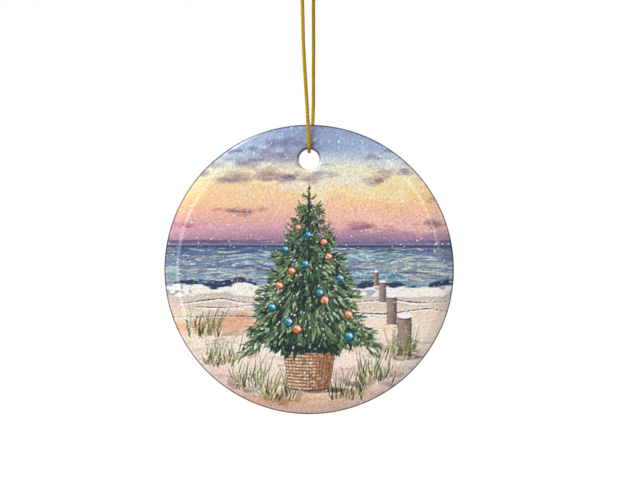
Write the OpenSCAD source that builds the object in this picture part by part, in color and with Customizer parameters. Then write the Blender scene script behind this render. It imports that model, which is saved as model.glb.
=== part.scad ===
// Round glazed ceramic ornament with a printed front, hung on a knotted loop of thin gold cord.
// The origin is the centre of the hook wire that the top of the loop goes over.
// The printed front faces -Y, the loop hangs down along -Z, and every size is in millimetres.

/* [Ceramic disc] */
// Diameter of the finished disc
disc_d = 70; // [50:1:100]
// Thickness of the finished disc, with its printed coat
disc_t = 3.5; // [2.5:0.1:5]
// Width of the rounded shoulder round the front face
shoulder_w = 4.5; // [2:0.5:8]
// How far the front face drops across the shoulder
shoulder_drop = 1.1; // [0.4:0.1:1.4]
// Radius of the edge round the back face
back_edge_r = 0.6; // [0.2:0.1:0.8]

/* [Hanging hole] */
// Diameter of the hanging hole
hole_d = 5; // [4:0.1:8]
// Ceramic left between the top of the hole and the top of the rim
hole_margin = 5.9; // [5:0.1:12]
// Radius of the rounded lip at each end of the hole
hole_lip_r = 0.8; // [0.4:0.1:1]

/* [Printed coat] */
// Thickness of the printed and clear-coated layer over the front face
coat_t = 0.1; // [0.05:0.01:0.3]

/* [Cord] */
// Diameter of the hanging cord
cord_d = 0.9; // [0.6:0.05:1.1]
// Gap between the cord and the top of the hole
hole_gap = 0.05; // [0.02:0.01:0.2]
// Gap between two lengths of the cord that turn against each other
turn_gap = 0.1; // [0.05:0.05:0.3]

/* [Knot] */
// Diameter of the knot
knot_d = 3.4; // [2.6:0.1:5]
// Height of the knot
knot_h = 4.4; // [3:0.1:7]
// Radius of the knot's rounded ends
knot_round = 1.2; // [0.6:0.1:1.3]
// How deep the two tails start inside the knot
tail_seat = 0.4; // [0.2:0.1:1]

/* [Hidden] */

// Facets of the round pieces and sides of the cord's tubes
round_fn = 180;
small_fn = 48;
cord_sides = 8;
// How far a cutting shape runs past what it cuts
past = 1;

// The cord's route: from the knot down in front of the disc, through the hole and up behind it.
// The loop turns on the disc's side of [front_low, back_low], and tilts at its top points.
upper_front = [
    [-0.5, 0, 3.6],
    [-1.35, 0, 1.75],
    [-1.86, 0, 0.55],
    [-1.97, -0.1, -5],
    [-1.88, -0.35, -13],
    [-1.78, -0.55, -20],
    [-1.78, -0.55, -22],
];
lower_loop = [
    [-1.78, -0.55, -22],
    [-1.77, -0.57, -24],
    [-1.58, -1.05, -30],
    [-1.4, -1.6, -38],
    [-0.95, -2.1, -46.5],
    [-0.48, -2.3, -54],
    [-0.2, -2.3, -59],
    [0, -2.4, -62.9],
    [0, -2.2, -63.7],
    [0, -1.65, -64.2],
    [0, -0.9, -64.4],
    [0, 0, -64.42],
    [0, 0.9, -64.4],
    [0, 1.65, -64.2],
    [0, 2.2, -63.7],
    [0, 2.4, -62.9],
    [0.7, 2.3, -59],
    [0.99, 2.3, -54],
    [1.03, 2.1, -46.5],
    [1.07, 1.6, -38],
    [1.04, 1.05, -30],
    [1.07, 0.57, -24],
    [1.08, 0.55, -22],
];
upper_back = [
    [1.08, 0.55, -22],
    [1.08, 0.55, -20],
    [1.35, 0.35, -13],
    [1.82, 0.1, -5],
    [1.86, 0, 0.55],
    [1.35, 0, 1.75],
    [0.5, 0, 3.6],
];
// Each tail leaves the top of the knot and springs a little outwards
left_tail = [[-0.5, 0, 0], [-0.6, -0.1, 2], [-1.3, -0.3, 4.5], [-2.4, -0.4, 7.2]];
right_tail = [[0.5, 0, 0], [0.6, 0.1, 2], [1.5, 0.2, 4.2], [2.9, 0.3, 6.2]];
// Points added between two points of a route to round it
upper_steps = 2;
lower_steps = 2;
tail_steps = 2;

// Where the parts hang
bight_z = -64.4;
hole_z = bight_z + cord_d / 2 + hole_gap - hole_d / 2;
disc_z = hole_z + hole_d / 2 + hole_margin - disc_d / 2;
tilt_z = upper_front[0].z;
turn_z = lower_loop[0].z;
knot_z = tilt_z + cord_d / 2 + turn_gap;

// Half sizes and the shoulder's radius, from its width and its drop
disc_r = disc_d / 2;
hole_r = hole_d / 2;
front = disc_t / 2;
body_front = front - coat_t;
shoulder_r = (shoulder_w ^ 2 + shoulder_drop ^ 2) / (2 * shoulder_drop);

// Unit vector along v
function unit(v) = v / norm(v);

// Slope of a route at point i: the slopes on its two sides, each weighted by the other's length
function slope(p, i) =
    i == 0 ? unit(p[1] - p[0])
    : i == len(p) - 1 ? unit(p[i] - p[i - 1])
    : let (before = p[i] - p[i - 1], after = p[i + 1] - p[i], a = norm(before), b = norm(after))
        (before * b / a + after * a / b) / (a + b);

// Point at share t of the way from point i of a route to the next, on a cubic with those slopes
function between(p, i, t) =
    let (d = norm(p[i + 1] - p[i]))
        (2 * t ^ 3 - 3 * t ^ 2 + 1) * p[i]
        + (t ^ 3 - 2 * t ^ 2 + t) * d * slope(p, i)
        + (3 * t ^ 2 - 2 * t ^ 3) * p[i + 1]
        + (t ^ 3 - t ^ 2) * d * slope(p, i + 1);

// A route with steps pieces between each two of its points
function rounded(p, steps) =
    concat([for (i = [0 : len(p) - 2]) for (k = [0 : steps - 1]) between(p, i, k / steps)],
        [p[len(p) - 1]]);

// Corners of a ring of radius r round point c, square to the direction t
function ring(c, t, r) =
    let (u = unit([1, 0, 0] - t.x * t), v = cross(t, u))
        [for (k = [0 : cord_sides - 1])
            let (a = 360 * k / cord_sides)
                c + r * (cos(a) * u + sin(a) * v)];

// Rings of a half ball of the cord's radius that rounds the end c of a cord, direction t outwards
function ball_end(c, t, way) =
    [for (a = way > 0 ? [25, 50, 75] : [75, 50, 25])
        ring(c + t * sin(a) * cord_d / 2, way * t, cos(a) * cord_d / 2)];

// Closed tube through a list of rings
module skin(rings) {
    n = len(rings);
    sides = len(rings[0]);
    last = (n - 1) * sides;
    polyhedron(
        points = [for (r = rings) each r],
        faces = concat(
            [[for (k = [0 : sides - 1]) k]],
            [for (i = [0 : n - 2]) for (k = [0 : sides - 1])
                let (a = i * sides, b = (k + 1) % sides)
                    each [[a + k, a + sides + k, a + b], [a + b, a + sides + k, a + sides + b]]],
            [[for (k = [sides - 1 : -1 : 0]) last + k]]
        ),
        convexity = 4
    );
}

// Cord along a route, with its first or its last end rounded
module cord(route, steps, ball_first = false, ball_last = false) {
    p = rounded(route, steps);
    n = len(p) - 1;
    first_way = unit(p[0] - p[1]);
    last_way = unit(p[n] - p[n - 1]);
    tube = [for (i = [0 : n]) ring(p[i], unit(slope(p, i)), cord_d / 2)];
    skin(concat(
        ball_first ? ball_end(p[0], first_way, -1) : [],
        tube,
        ball_last ? ball_end(p[n], last_way, 1) : []
    ));
}

// What the shoulder takes off a section of the disc whose flat front is at height top
module shoulder_waste(top) {
    difference() {
        translate([disc_r - shoulder_w, top - shoulder_drop])
            square([shoulder_w + 2 * past, shoulder_drop + past]);
        translate([disc_r - shoulder_w, top - shoulder_r]) circle(r = shoulder_r, $fn = round_fn);
    }
}

// What the rounded back edge takes off a section of the disc
module back_waste() {
    difference() {
        translate([disc_r - back_edge_r, -front - past])
            square([back_edge_r + past, back_edge_r + past]);
        translate([disc_r - back_edge_r, back_edge_r - front]) circle(r = back_edge_r, $fn = small_fn);
    }
}

// Half section of a disc whose flat front is at height top, radius along X
module disc_section(top) {
    difference() {
        translate([0, -front]) square([disc_r, front + top]);
        shoulder_waste(top);
        back_waste();
    }
}

// Half section of the layer between the finished front and the ceramic under it
module coat_section() {
    difference() {
        disc_section(front);
        difference() {
            translate([0, -disc_t]) square([disc_r + past, disc_t + body_front]);
            shoulder_waste(body_front);
        }
    }
}

// Mouth that widens from radius narrow by the lip's radius, starting at height 0
module mouth(narrow, lip) {
    rotate_extrude($fn = small_fn)
        difference() {
            square([narrow + lip, lip + past]);
            translate([narrow + lip, 0]) circle(r = lip, $fn = small_fn);
        }
}

// Ring of coat that wraps over the front lip of the hole
module lip_coat() {
    rotate_extrude($fn = small_fn)
        translate([hole_r + hole_lip_r, 0])
            intersection() {
                difference() {
                    circle(r = hole_lip_r, $fn = small_fn);
                    circle(r = hole_lip_r - coat_t, $fn = small_fn);
                }
                translate([-hole_lip_r - past, 0]) square([hole_lip_r + past, hole_lip_r + past]);
            }
}

// Moves what is drawn flat, front up, to where the disc hangs, front to -Y
module hang() {
    translate([0, 0, disc_z]) rotate([90, 0, 0]) children();
}

// Moves what is drawn on the Z axis to the hole's axis
module at_hole(height = 0) {
    translate([0, hole_z - disc_z, height]) children();
}

module ceramic_body() {
    color("whitesmoke") hang() difference() {
        rotate_extrude($fn = round_fn) disc_section(body_front);
        at_hole() cylinder(r = hole_r, h = disc_t + 2 * past, center = true, $fn = small_fn);
        at_hole(front - hole_lip_r) mouth(hole_r + coat_t, hole_lip_r - coat_t);
        at_hole(hole_lip_r - front) mirror([0, 0, 1]) mouth(hole_r, hole_lip_r);
    }
}

module printed_coat() {
    color("steelblue") hang() union() {
        difference() {
            rotate_extrude($fn = round_fn) coat_section();
            at_hole() cylinder(r = hole_r + hole_lip_r, h = disc_t + 2 * past, $fn = small_fn);
        }
        at_hole(front - hole_lip_r) lip_coat();
    }
}

module cord_upper() {
    color("goldenrod") {
        cord(upper_front, upper_steps, ball_first = true);
        cord(upper_back, upper_steps, ball_last = true);
    }
}

module cord_lower() {
    // Its two ends stop short of the upper lengths
    gap = [0, 0, turn_gap];
    last = len(lower_loop) - 1;
    route = [for (i = [0 : last]) i == 0 || i == last ? lower_loop[i] - gap : lower_loop[i]];
    color("goldenrod") cord(route, lower_steps);
}

module cord_knot() {
    straight = knot_h - 2 * knot_round;
    color("darkgoldenrod") translate([0, 0, knot_z]) rotate_extrude($fn = small_fn) {
        square([knot_d / 2 - knot_round, knot_h]);
        translate([0, knot_round]) square([knot_d / 2, straight]);
        for (height = [knot_round, knot_h - knot_round])
            translate([knot_d / 2 - knot_round, height])
                intersection() {
                    circle(r = knot_round, $fn = small_fn);
                    translate([0, -knot_round]) square([knot_round, 2 * knot_round]);
                }
    }
}

module cord_tails() {
    color("goldenrod") translate([0, 0, knot_z + knot_h - tail_seat]) {
        cord(left_tail, tail_steps);
        cord(right_tail, tail_steps);
    }
}

ceramic_body();
printed_coat();
cord_upper();
cord_lower();
cord_knot();
cord_tails();
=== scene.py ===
# %% [markdown]
# # A printed ceramic ornament on a gold cord
# The ornament has three real pieces: a white glazed disc, a printed coat that is fused over its
# front, and one length of gold cord that is tied in a knot. This file makes each of them as a
# surface worked out with arrays, and gives each a finish made of nodes.
#
# The frame comes first. It holds the solids, the bodies that move and the sizes, in metres, so
# that nothing here has to be fitted by eye.

# %% Load the frame
import math
import bmesh
import bpy
import numpy as np
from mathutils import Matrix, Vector


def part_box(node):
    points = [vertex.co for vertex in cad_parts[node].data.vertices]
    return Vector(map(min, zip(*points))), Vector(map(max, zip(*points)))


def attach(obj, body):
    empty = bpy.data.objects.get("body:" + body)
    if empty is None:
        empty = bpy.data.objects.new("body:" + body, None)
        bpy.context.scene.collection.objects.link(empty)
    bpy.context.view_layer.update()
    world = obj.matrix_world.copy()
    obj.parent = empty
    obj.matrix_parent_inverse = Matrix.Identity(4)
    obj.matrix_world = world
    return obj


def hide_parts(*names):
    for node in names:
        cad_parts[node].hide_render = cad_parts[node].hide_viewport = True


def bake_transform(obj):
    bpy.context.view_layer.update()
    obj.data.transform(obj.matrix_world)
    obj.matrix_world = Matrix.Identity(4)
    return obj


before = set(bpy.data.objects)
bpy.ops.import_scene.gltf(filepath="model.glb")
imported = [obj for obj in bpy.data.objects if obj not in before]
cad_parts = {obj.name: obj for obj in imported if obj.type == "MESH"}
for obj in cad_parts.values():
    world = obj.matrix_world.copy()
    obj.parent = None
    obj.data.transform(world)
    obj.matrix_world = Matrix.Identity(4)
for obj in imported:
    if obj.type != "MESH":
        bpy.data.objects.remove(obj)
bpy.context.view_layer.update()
MM = 0.001

# %% [markdown]
# ## Sizes that the pieces share
# The disc's box gives its radius, its middle and its two faces. The few sizes that a box can't
# give, such as the shoulder's width, are named here once, in millimetres, as they are on the disc.

# %% Read the disc's sizes from the frame
body_low, body_high = (np.array(c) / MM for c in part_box("ceramic_body"))
coat_low = np.array(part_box("printed_coat")[0]) / MM
DISC_R = (body_high[0] - body_low[0]) / 2
DISC_Z = (body_high[2] + body_low[2]) / 2
FRONT_Y = coat_low[1]
BACK_Y = body_high[1]
SHOULDER_W, SHOULDER_DROP = 4.5, 1.1
RIM_R = 0.35        # how far the glaze rounds the outer edge of the front
BACK_EDGE_R = 0.6
HOLE_R, HOLE_LIP, HOLE_MARGIN = 2.5, 0.8, 5.9
HOLE_UP = DISC_R - HOLE_MARGIN - HOLE_R     # the hole's middle above the disc's
COAT_T = 0.1
CORD_D = 0.9
print(f"disc radius {DISC_R:.2f} mm, middle at z {DISC_Z:.2f}, faces at y {FRONT_Y:.2f} and {BACK_Y:.2f}")

# %% [markdown]
# ## The camera
# The ornament is looked at straight from the front, from about 40 cm, with the disc a little
# below the middle of the view and both lengths of cord leaving it at the top. The lens follows
# from how wide the view is at the disc.

# %% Place the camera
VIEW_DISTANCE = 400.0   # mm from the front of the disc
VIEW_WIDTH = 149.4      # mm that the view takes in at the disc
VIEW_MIDDLE = (0.2, DISC_Z + 5.2)
SENSOR = 36.0

camera_data = bpy.data.cameras.new("front_camera")
camera_data.sensor_width = SENSOR
camera_data.lens = SENSOR * VIEW_DISTANCE / VIEW_WIDTH
camera_data.clip_start, camera_data.clip_end = 0.01, 20.0
camera = bpy.data.objects.new("front_camera", camera_data)
camera.location = (VIEW_MIDDLE[0] * MM, (FRONT_Y - VIEW_DISTANCE) * MM, VIEW_MIDDLE[1] * MM)
camera.rotation_euler = (math.pi / 2, 0, 0)
bpy.context.scene.collection.objects.link(camera)
bpy.context.scene.camera = camera
print(f"lens {camera_data.lens:.1f} mm")

# %% [markdown]
# ## Tools for surfaces
# A mesh needs points and faces. Most surfaces here are a grid: rows of points, where each four
# neighbours make a face. `foreach_set` hands whole arrays to Blender, which is far quicker than
# one point at a time. The grid's faces must turn the same way round, so that they face outwards.

# %% Make meshes from arrays
def mesh_piece(name, points, quads=(), triangles=()):
    """A mesh object at the origin: points in mm become vertices in metres, and the faces are
    rows of four or three point numbers."""
    quads = np.asarray(quads, np.int32).reshape(-1, 4)
    triangles = np.asarray(triangles, np.int32).reshape(-1, 3)
    mesh = bpy.data.meshes.new(name)
    mesh.vertices.add(len(points))
    mesh.vertices.foreach_set("co", (np.asarray(points) * MM).astype(np.float32).ravel())
    sizes = np.concatenate([np.full(len(quads), 4), np.full(len(triangles), 3)]).astype(np.int32)
    corners = np.concatenate([quads.ravel(), triangles.ravel()]).astype(np.int32)
    mesh.loops.add(len(corners))
    mesh.loops.foreach_set("vertex_index", corners)
    mesh.polygons.add(len(sizes))
    mesh.polygons.foreach_set("loop_start", np.concatenate([[0], np.cumsum(sizes)[:-1]]).astype(np.int32))
    mesh.polygons.foreach_set("use_smooth", np.ones(len(sizes), bool))
    mesh.update(calc_edges=True)
    mesh.validate()
    piece = bpy.data.objects.new(name, mesh)
    bpy.context.scene.collection.objects.link(piece)
    return piece


def between_rows(a, b, closed=True):
    """Quads that join two rows of point numbers of the same length, side by side."""
    a, b = np.asarray(a), np.asarray(b)
    a2, b2 = (np.roll(a, -1), np.roll(b, -1)) if closed else (a[1:], b[1:])
    n = len(a2)
    return np.stack([a[:n], a2, b2, b[:n]], 1)


# %% [markdown]
# ## The cord's route
# The cord is limp and hangs from a hook, so both its lengths are drawn taut: up in front of the
# disc, through the hole and up behind it, and over the two sides of the hook into the knot.
# Its points are the same round numbers as the design's. Between them runs a cubic curve whose
# slope at each point is the mean of the slopes on its two sides, the nearer one counting more.

# %% Draw the route
ROUTE = np.array([
    (-0.5, 0, 3.6), (-1.35, 0, 1.75), (-1.86, 0, 0.55), (-1.97, -0.1, -5), (-1.88, -0.35, -13),
    (-1.78, -0.55, -20), (-1.78, -0.55, -22), (-1.77, -0.57, -24), (-1.58, -1.05, -30),
    (-1.4, -1.6, -38), (-0.95, -2.1, -46.5), (-0.48, -2.3, -54), (-0.2, -2.3, -59),
    (0, -2.4, -62.9), (0, -2.2, -63.7), (0, -1.65, -64.2), (0, -0.9, -64.4), (0, 0, -64.42),
    (0, 0.9, -64.4), (0, 1.65, -64.2), (0, 2.2, -63.7), (0, 2.4, -62.9), (0.7, 2.3, -59),
    (0.99, 2.3, -54), (1.03, 2.1, -46.5), (1.07, 1.6, -38), (1.04, 1.05, -30), (1.07, 0.57, -24),
    (1.08, 0.55, -22), (1.08, 0.55, -20), (1.35, 0.35, -13), (1.82, 0.1, -5), (1.86, 0, 0.55),
    (1.35, 0, 1.75), (0.5, 0, 3.6),
])


def curve_through(points, step):
    """Points every step mm along the smooth curve through the given ones. Each stretch is a
    cubic (Hermite) curve, and the slope at a point is the two neighbouring slopes, each
    weighted by the length of the other stretch."""
    points = np.asarray(points, float)
    chords = np.diff(points, axis=0)
    lengths = np.linalg.norm(chords, axis=1)[:, None]
    units = chords / lengths
    inner = (units[:-1] * lengths[1:] + units[1:] * lengths[:-1]) / (lengths[:-1] + lengths[1:])
    slopes = np.concatenate([units[:1], inner, units[-1:]])
    t = np.linspace(0, 1, 60, endpoint=False)[None, :, None]
    p, q, m, n = (a[:, None] for a in (points[:-1], points[1:], slopes[:-1], slopes[1:]))
    length = lengths[:, None]
    fine = ((2 * t**3 - 3 * t**2 + 1) * p + (t**3 - 2 * t**2 + t) * length * m
            + (3 * t**2 - 2 * t**3) * q + (t**3 - t**2) * length * n).reshape(-1, 3)
    fine = np.concatenate([fine, points[-1:]])
    along = np.concatenate([[0], np.cumsum(np.linalg.norm(np.diff(fine, axis=0), axis=1))])
    even = np.linspace(0, along[-1], max(2, int(round(along[-1] / step)) + 1))
    return np.stack([np.interp(even, along, fine[:, k]) for k in range(3)], 1)


cord_line = curve_through(ROUTE, 0.25)

# %% [markdown]
# ## The cord's surface
# The real cord is a thin core wound with flat gold yarn, so it shows fine slanting ribs about
# half a millimetre apart. They are real shape here: the radius rises and falls along the cord,
# and the crests climb round it as the yarn does. Each ring of points is square to the route and
# is turned as little as possible from the ring before, so that the cord has no false twist.

# %% Sweep a ribbed cord along a line
RIB_PITCH = 0.5      # mm between ribs
RIB_STARTS = 2       # ribs that climb side by side, which sets their slant
RIB_DEPTH = 0.07     # mm from crest to groove


def frames_along(line):
    """Directions of a line and two square directions at each point. The first is the X axis made
    square to the line, which never runs along X."""
    forward = np.gradient(line, axis=0)
    forward /= np.linalg.norm(forward, axis=1)[:, None]
    side = np.array([1.0, 0, 0]) - forward[:, :1] * forward
    side /= np.linalg.norm(side, axis=1)[:, None]
    return forward, side, np.cross(forward, side)


def ribbed_tube(line, radius, sides=20, per_pitch=6, taper=None, first_turn=0.0):
    """Points and faces of a closed tube along a line. The radius at a place is the cord's, less
    the rib depth times one less the size of the sine of the rib's phase, which runs with the
    length along the cord and with the angle round it."""
    line = curve_through(line, RIB_PITCH / per_pitch)
    forward, side, up = frames_along(line)
    along = np.concatenate([[0], np.cumsum(np.linalg.norm(np.diff(line, axis=0), axis=1))])
    angle = np.arange(sides) * 2 * math.pi / sides
    phase = math.pi * along[:, None] / RIB_PITCH + RIB_STARTS / 2 * angle[None, :] + first_turn
    size = radius - RIB_DEPTH * (1 - np.abs(np.sin(phase)))
    if taper is not None:
        size = size * taper(along / along[-1])[:, None]
    rings = (line[:, None] + size[..., None] * (np.cos(angle)[None, :, None] * side[:, None]
                                                + np.sin(angle)[None, :, None] * up[:, None]))
    count = len(line)
    number = np.arange(count * sides).reshape(count, sides)
    quads = np.concatenate([between_rows(number[i], number[i + 1]) for i in range(count - 1)])
    caps = np.array([line[0], line[-1]])
    first, last = count * sides, count * sides + 1
    ends = np.concatenate([
        np.stack([np.full(sides, first), np.roll(number[0], -1), number[0]], 1),
        np.stack([np.full(sides, last), number[-1], np.roll(number[-1], -1)], 1)])
    height = np.concatenate([np.abs(np.sin(phase)).ravel(), [0.3, 0.3]])
    return np.concatenate([rings.reshape(-1, 3), caps]), quads, ends, height, line


def cord_piece(name, tubes):
    """One piece from several tubes, which keeps how high on a rib each of its points is."""
    starts = np.cumsum([0] + [len(tube[0]) for tube in tubes])
    piece = mesh_piece(name, np.concatenate([tube[0] for tube in tubes]),
                       np.concatenate([tube[1] + start for tube, start in zip(tubes, starts)]),
                       np.concatenate([tube[2] + start for tube, start in zip(tubes, starts)]))
    height = piece.data.attributes.new("rib_height", "FLOAT", "POINT")
    height.data.foreach_set("value", np.concatenate([tube[3] for tube in tubes]).astype(np.float32))
    return piece


main_tube = ribbed_tube(cord_line, CORD_D / 2)
hanging_cord = cord_piece("hanging_cord", [main_tube])
print("cord faces", len(hanging_cord.data.polygons))

# %% [markdown]
# ## The knot and the tails
# Both ends of the cord are tied together in one overhand knot: the pair comes up, bends over to
# one side, crosses in front of itself, goes round behind and comes out at the top through its
# own loop. The pair's route is a list of points, and each cord runs half a diameter to one side
# of it. The two tails spring apart above, where they were cut.

# %% Tie the knot
knot_low, knot_high = (np.array(c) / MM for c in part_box("cord_knot"))
KNOT_Z = (knot_low[2] + knot_high[2]) / 2
KNOT_ROUTE = np.array([
    (0, 0, -2.9), (0.12, 0.1, -1.7), (0.62, 0.2, -0.75), (0.98, -0.05, 0.25), (0.62, 0.2, 1.1),
    (-0.15, 0.45, 1.35), (-0.85, 0.2, 0.85), (-0.95, -0.25, -0.05), (-0.42, -0.75, -0.8),
    (0.4, -0.6, -0.95), (1.05, 0.1, -0.6), (0.85, 0.75, 0.05), (0.2, 0.55, 0.45),
    (-0.1, -0.35, 0.95), (-0.02, -0.3, 1.6), (0, 0, 2.4),
]) + np.array([0, 0, KNOT_Z])


def pair_of_lines(line, apart):
    """Two lines that run side by side along a line, each half the distance to one side of it.
    The side is square to the line and stays in the plane that faces the front."""
    forward = np.gradient(line, axis=0)
    forward /= np.linalg.norm(forward, axis=1)[:, None]
    side = np.cross(forward, [0.0, 1.0, 0.0])
    side /= np.linalg.norm(side, axis=1)[:, None]
    return line - side * apart / 2, line + side * apart / 2


knot_line = curve_through(KNOT_ROUTE, 0.2)
knot_pair = pair_of_lines(knot_line, 0.78)
TAIL_TIPS = np.array([[(-0.6, -0.1, 1.2), (-1.3, -0.3, 3.7), (-2.4, -0.4, 6.6)],
                      [(0.6, 0.1, 1.2), (1.5, 0.2, 3.4), (2.9, 0.3, 5.6)]])
tail_start = np.array([0, 0, knot_high[2]])
knot_tubes = []
for strand, tip in zip(knot_pair, TAIL_TIPS[:: -1 if knot_pair[0][-1, 0] > 0 else 1]):
    whole = np.concatenate([strand[::6], tip + tail_start])
    knot_tubes.append(ribbed_tube(whole, CORD_D / 2 * 0.96, sides=16, per_pitch=5,
                                  taper=lambda s: 1 - 0.35 * np.clip(s * 30 - 29, 0, 1) ** 2))
overhand_knot = cord_piece("overhand_knot", knot_tubes)
print("knot faces", len(overhand_knot.data.polygons))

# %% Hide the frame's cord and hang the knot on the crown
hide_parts("cord_upper", "cord_lower")
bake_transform(hanging_cord)
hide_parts("cord_knot", "cord_tails")
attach(overhand_knot, "crown")

# %% [markdown]
# ## A round grid with a hole in it
# The picture needs points that lie evenly all over the disc, with no pole in the middle where
# faces crowd together. So a square grid is bent into a round one: each square ring of the grid
# becomes a circle. Round the hole the same is done once more: a block of faces is left out, and
# the rings next to it are eased from circles round the hole into the rings of the disc.

# %% Bend a square grid into a disc
GRID_HALF = 150      # rings of the finest grid, from the middle to the rim
HOLE_RING = 114      # the ring that the hole's middle lies on
HOLE_BLOCK = 12      # rings of the block left out for the hole
LIP_RINGS = 6        # rings that go round the hole's lip
CALM_RINGS = 18      # rings over which the circles round the hole ease into the disc's


def ease(t):
    """Eased share: nought below 0, one above 1, and 3t^2 - 2t^3 between them."""
    t = np.clip(t, 0, 1)
    return t * t * (3 - 2 * t)


def square_to_round(i, j):
    """Ring number and angle of grid places. A place's ring is the larger of its two counts, and
    its angle is 45 degrees times the smaller over the larger, from the axis it is nearest to."""
    ring = np.maximum(np.abs(i), np.abs(j))
    major_i = np.abs(i) >= np.abs(j)
    safe = np.where(ring == 0, 1, ring)
    share = np.where(major_i, j * np.sign(i), i * np.sign(j)) / safe
    lean = share * math.pi / 4
    turn = np.where(major_i, lean + (i < 0) * math.pi, math.pi / 2 - lean + (j < 0) * math.pi)
    return ring, turn


SHOULDER_START = DISC_R - SHOULDER_W
SHOULDER_ARC = (SHOULDER_W ** 2 + SHOULDER_DROP ** 2) / (2 * SHOULDER_DROP)
RIM_LEAN = math.asin((DISC_R - RIM_R - SHOULDER_START) / (SHOULDER_ARC - RIM_R))
RIM_START = SHOULDER_START + SHOULDER_ARC * math.sin(RIM_LEAN)


def ring_radius(ring):
    """Radius of a ring in mm: even steps over the flat and the shoulder, and then even angles
    round the small rim arc, so that the roundest part has the most rings."""
    even = ring * HOLE_UP / HOLE_RING
    last_flat, last_shoulder = 130, 145
    flat_end = last_flat * HOLE_UP / HOLE_RING
    shoulder = flat_end + (ring - last_flat) * (RIM_START - flat_end) / (last_shoulder - last_flat)
    lean = RIM_LEAN + (ring - last_shoulder) / (GRID_HALF - last_shoulder) * (math.pi / 2 - RIM_LEAN)
    rim = DISC_R - RIM_R + RIM_R * np.sin(lean)
    return np.where(ring <= last_flat, even, np.where(ring <= last_shoulder, shoulder, rim))


def front_depth(radius):
    """How far the glazed front lies behind its flat, in mm: nought on the flat, then a circle's
    arc over the shoulder, then the small rim arc that ends square to the front."""
    arc = SHOULDER_ARC - np.sqrt(np.maximum(SHOULDER_ARC ** 2 - (radius - SHOULDER_START) ** 2, 0))
    start = SHOULDER_ARC * (1 - math.cos(RIM_LEAN)) + RIM_R * math.cos(RIM_LEAN)
    inside = np.clip(radius - DISC_R + RIM_R, 0, RIM_R)
    rim = start - np.sqrt(np.maximum(RIM_R ** 2 - inside ** 2, 0))
    return np.where(radius <= SHOULDER_START, 0, np.where(radius <= RIM_START, arc, rim))


def lip_depth(from_hole, lip):
    """How far a rounded lip lies behind the flat: a quarter circle from the flat to the wall."""
    inside = np.clip(HOLE_R + lip - from_hole, 0, lip)
    return lip - np.sqrt(np.maximum(lip ** 2 - inside ** 2, 0))


def round_grid(step):
    """Places on the disc, x and z in mm from its middle, of every step-th line of the grid, and
    which of its faces and points are kept. Also the point numbers along the rim and the hole."""
    half, hole_j, block = GRID_HALF // step, HOLE_RING // step, HOLE_BLOCK // step
    count = np.arange(-half, half + 1)
    i, j = np.meshgrid(count, count, indexing="ij")
    ring, turn = square_to_round(i, j)
    radius = ring_radius(ring * step)
    x, z = radius * np.cos(turn), radius * np.sin(turn)
    near, near_turn = square_to_round(i, j - hole_j)
    fine = near * step - HOLE_BLOCK
    lean = np.clip(fine / LIP_RINGS, 0, 1) * math.pi / 2
    circle = HOLE_R + HOLE_LIP * (1 - np.cos(lean)) + np.maximum(fine - LIP_RINGS, 0) * 0.21
    calm = ease((fine - LIP_RINGS) / CALM_RINGS)
    x = circle * np.cos(near_turn) * (1 - calm) + x * calm
    z = (HOLE_UP + circle * np.sin(near_turn)) * (1 - calm) + z * calm
    kept = near >= block
    number = np.where(kept, np.cumsum(kept.ravel()).reshape(kept.shape) - 1, -1)
    quads = np.stack([number[:-1, :-1], number[1:, :-1], number[1:, 1:], number[:-1, 1:]], -1).reshape(-1, 4)
    hidden = ((i[:-1, :-1] >= -block) & (i[:-1, :-1] < block)
              & (j[:-1, :-1] >= hole_j - block) & (j[:-1, :-1] < hole_j + block)).ravel()

    def loop(middle_j, size):
        """Point numbers once round a square ring of the grid, starting at its lower left."""
        k = np.arange(2 * size)
        near_side, far_side = np.zeros(2 * size, int), np.full(2 * size, 2 * size)
        side_i = np.concatenate([k, far_side, far_side - k, near_side]) - size
        side_j = np.concatenate([near_side, k, far_side, far_side - k]) - size
        return number[side_i + half, side_j + middle_j + half]

    return x[kept], z[kept], quads[~hidden], loop(0, half), loop(hole_j, block)


def zip_loops(fine, coarse):
    """Triangles between two closed loops of points where the fine one has a whole number of
    points for each of the coarse one's: half of each share goes to either coarse neighbour."""
    share = len(fine) // len(coarse)
    m = np.arange(len(fine))
    owner = (m // share + (m % share >= share / 2)) % len(coarse)
    fans = np.stack([fine, np.roll(fine, -1), coarse[owner]], 1)
    if share == 1:
        return np.concatenate([fans, np.stack([np.roll(fine, -1), np.roll(coarse, -1), coarse], 1)])
    middle = fine[np.arange(len(coarse)) * share + math.ceil(share / 2)]
    return np.concatenate([fans, np.stack([coarse, middle, np.roll(coarse, -1)], 1)])


def face_outwards(piece):
    """Turns all the faces of a closed piece the same way, outwards."""
    working = bmesh.new()
    working.from_mesh(piece.data)
    bmesh.ops.recalc_face_normals(working, faces=working.faces)
    working.to_mesh(piece.data)
    working.free()


# %% [markdown]
# ## The printed coat
# The picture is printed on film, laid on the blank and fired or pressed on under a clear glaze,
# so it wraps over everything that faces the front: the flat, the shoulder and the hole's front
# lip. It is a closed shell a tenth of a millimetre thick with a fine outer face, which carries
# the picture's colours, and a coarse inner face that rests on the ceramic.

# %% Make the printed coat
x, z, quads, rim, mouth = round_grid(1)
print_x, print_z = x, z


def to_disc(x, z, depth):
    """Points of the hanging disc from places on its front and their depth behind the flat."""
    return np.stack([x, FRONT_Y + depth, DISC_Z + z], 1)


def glazed_depth(x, z, lip):
    """Depth of the glazed front at places on it: the shoulder's and the hole's lip together."""
    return front_depth(np.hypot(x, z)) + lip_depth(np.hypot(x, z - HOLE_UP), lip)


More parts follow.
